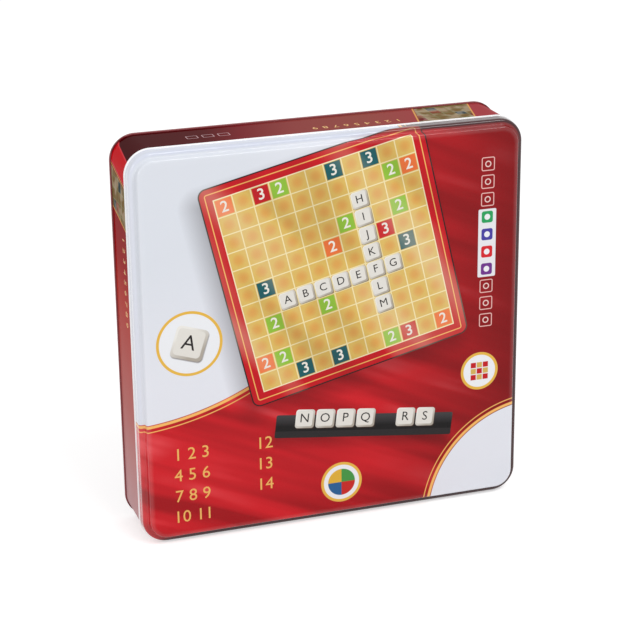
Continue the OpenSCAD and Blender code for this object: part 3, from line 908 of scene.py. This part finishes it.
# A black rack with tiles, below the board.
RACK_AT, RACK_TURN, RACK_CELL, RACK_HALF = (22, -68, 0), -7.0, 15.0, 66.0
RACK_TILES = (-3, -2, -1, 0, 2, 3)
on_rack = on_lid.turned(RACK_TURN, RACK_AT)
shade = on_rack.vector("SUBTRACT", (-2, -12, 0)).to_slab((RACK_HALF - 2, 3), 2)
ink = lid_ink.lay(ink, srgb(40, 4, 8), shade.inside(12) * 0.6)
rest = on_rack.vector("SUBTRACT", (0, -3, 0)).to_slab((RACK_HALF, 8.5), 1.5)
rest_inks = lid_ink.lay(srgb(20, 18, 19), srgb(62, 60, 62), on_rack.split()[1].ramp(-3, 4))
ink = lid_ink.lay(ink, rest_inks, rest.inside())
column, row, u, v = on_rack.vector("SUBTRACT", (0, 2.5, 0)).cells(RACK_CELL)
taken = column.is_near(0, 3.5) * (1 - column.is_near(1)) * row.is_near(0)
ink = printed_tiles(ink, taken, u, v, RACK_CELL)
lip = on_rack.vector("SUBTRACT", (0, -9, 0)).to_slab((RACK_HALF, 2.4), 1)
lip_inks = lid_ink.lay(srgb(40, 37, 38), srgb(18, 16, 17), (lip + 1.6).inside())
ink = lid_ink.lay(ink, lip_inks, lip.inside())

# White discs with gold rings: a single tile, a small board, four quarters.
LONE_AT, MINI_AT, QUARTERS_AT = (-103, 6, 0), (108, -42, 0), (4, -112, 0)
for centre, radius in ((LONE_AT, 23), (MINI_AT, 14), (QUARTERS_AT, 15)):
    disc = on_lid.to_disc(centre, radius)
    ink = lid_ink.lay(ink, srgb(238, 240, 244), disc.inside())
    ink = lid_ink.lay(ink, srgb(232, 184, 74), (abs(disc + 0.9) - 1.0).inside())
LONE_TURN, LONE_CELL = -18, 25
column, row, u, v = on_lid.turned(LONE_TURN, LONE_AT).cells(LONE_CELL)
ink = printed_tiles(ink, column.is_near(0) * row.is_near(0), u, v, LONE_CELL)
mini = on_lid.vector("SUBTRACT", MINI_AT)
column, row, u, v = mini.cells(4.6)
checks = lid_ink.lay(srgb(214, 178, 92), srgb(196, 26, 32), ((column + row) % 2).is_near(0))
ink = lid_ink.lay(ink, checks, (abs(u).most(abs(v)) - 2).inside() * mini.to_slab((6.8, 6.8)).inside())
quarters = on_lid.vector("SUBTRACT", QUARTERS_AT)
right, up, _ = quarters.split()
upper = lid_ink.lay(srgb(224, 178, 60), srgb(70, 150, 70), right > 0)
lower = lid_ink.lay(srgb(40, 96, 150), srgb(200, 40, 36), right > 0)
ink = lid_ink.lay(ink, lid_ink.lay(lower, upper, up > 0), quarters.to_disc((0, 0, 0), 10).inside())

# A column of small frames. The middle ones stand on a white strip and have
# a coloured counter each.
FRAMES_X, FRAME_LOW, FRAME_PITCH, FRAMES = 112, -4, 12.6, 10
STRIP = (3, 6)
COUNTERS = (srgb(112, 52, 140), srgb(214, 34, 44), srgb(70, 62, 160), srgb(40, 160, 92))
on_frame = on_lid.vector("SUBTRACT", (FRAMES_X, FRAME_LOW, 0))
_, row, _, v = on_frame.cells(FRAME_PITCH)
at = lid_ink.node("CombineXYZ", {}, {"X": on_frame.split()[0], "Y": v})
middle_row = sum(STRIP) / 2
strip = on_frame.vector("SUBTRACT", (0, middle_row * FRAME_PITCH, 0)).to_slab(
    (6.6, 2 * FRAME_PITCH - 0.6), 1)
ink = lid_ink.lay(ink, srgb(232, 232, 236), strip.inside())
on_strip = row.is_near(middle_row, 2)
framed = row.is_near((FRAMES - 1) / 2, FRAMES / 2) * (1 - on_strip)
frame_edge = at.to_slab((4.9, 4.9), 1.4)
ink = lid_ink.lay(ink, srgb(244, 196, 190), (abs(frame_edge + 0.35) - 0.3).inside() * framed)
dot = at.to_disc((0, 0, 0), 2.3)
ink = lid_ink.lay(ink, srgb(244, 214, 208), (abs(dot + 0.4) - 0.35).inside() * framed)
counter = at.to_slab((4.2, 4.2), 1.6).inside()
for number, colour in enumerate(COUNTERS):
    ink = lid_ink.lay(ink, colour, counter * row.is_near(STRIP[0] + number))
ink = lid_ink.lay(ink, srgb(240, 240, 244), (dot + 0.2).inside() * on_strip)

# The lower right of the turned-down edge is painted dark: painted shade, where the edge turns away
# from the light. The bead is white, and the inside of the lid is plain.
ink = lid_ink.lay(ink, srgb(52, 6, 14), shaded_rim * (lid_x - lid_y).ramp(6, 30))
ink = lid_ink.lay(ink, srgb(254, 254, 255), (bead_start - reach).inside(0.3))
ink = lid_ink.lay(ink, BARE_TIN, place.split()[0] > IN_MIDDLE - IN_HALF - 0.005)
fine = lid_ink.noise(on_lid, 1.1, 4)
ripple = lid_ink.noise(on_lid, 0.012, 1)
# The lacquer runs together on the rounded edges, so it is thicker there.
pooled = reach.ramp(131, 133)
lid_ink.feed(Base_Color=ink, Roughness=0.22 + fine * 0.14, Coat_Weight=0.15 + pooled * 0.75,
             Normal=lid_ink.bumped(fine, 0.00002, 0.5, lid_ink.bumped(ripple, 0.002, 0.4)))
tin_lid.data.materials.append(lid_ink.material)
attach(tin_lid, "lid")
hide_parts("lid")


def on_front(x, y, lift):
    return stood(x, y, FRONT_Z + INK_T / 2 + lift)


def on_turned(at, degrees, x, y):
    a = math.radians(degrees)
    return (at[0] + x * math.cos(a) - y * math.sin(a), at[1] + x * math.sin(a) + y * math.cos(a))


# The figures of the print. Those that would run over the panel's edge stay off.
PANEL_FLAT = 128
tiled = set(ROW_TILES + COLUMN_TILES)
span = CELLS // 2
board_marks = []
for column in range(-span, span + 1):
    for row in range(-span, span + 1):
        x, y = on_turned(BOARD_AT, BOARD_TURN, column * CELL, row * CELL)
        bonus = BONUS.get(bonus_at(column, row))
        if bonus and (column, row) not in tiled and max(abs(x), abs(y)) < PANEL_FLAT:
            board_marks.append((bonus[1], x, y, 11, BOARD_TURN))
white_figures = figures("lid_white_figures", board_marks, on_front, 0.012)
white_figures.data.materials.append(ink_of("white_ink", srgb(244, 240, 230)))

tile_marks = []
for number, (column, row) in enumerate(ROW_TILES + COLUMN_TILES):
    x, y = on_turned(BOARD_AT, BOARD_TURN, column * CELL - 0.25, row * CELL + 0.3)
    tile_marks.append((LETTERS[number], x, y, 8, BOARD_TURN))
for number, column in enumerate(RACK_TILES, len(tile_marks)):
    x, y = on_turned(RACK_AT, RACK_TURN, column * RACK_CELL - 0.3, 2.8)
    tile_marks.append((LETTERS[number], x, y, 9.4, RACK_TURN))
tile_marks.append(("A", LONE_AT[0] - 0.4, LONE_AT[1] + 0.4, 15, LONE_TURN))
black_figures = figures("lid_black_figures", tile_marks, on_front)
black_figures.data.materials.append(black_ink)

GOLD_COLUMNS = (("1 2 3", "4 5 6", "7 8 9", "10 11"), ("12", "13", "14"))
GOLD_X, GOLD_Y, COLUMN_STEP, LINE_STEP = -104, -74, 52, 15.5
gold_marks = [(text, GOLD_X + column * COLUMN_STEP, GOLD_Y - line * LINE_STEP, 12.5, 0)
              for column, lines in enumerate(GOLD_COLUMNS)
              for line, text in enumerate(lines)]
gold_figures = figures("lid_gold_figures", gold_marks, on_front)
gold_figures.data.materials.append(gold_ink)
for piece in (white_figures, black_figures, gold_figures):
    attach(piece, "lid")
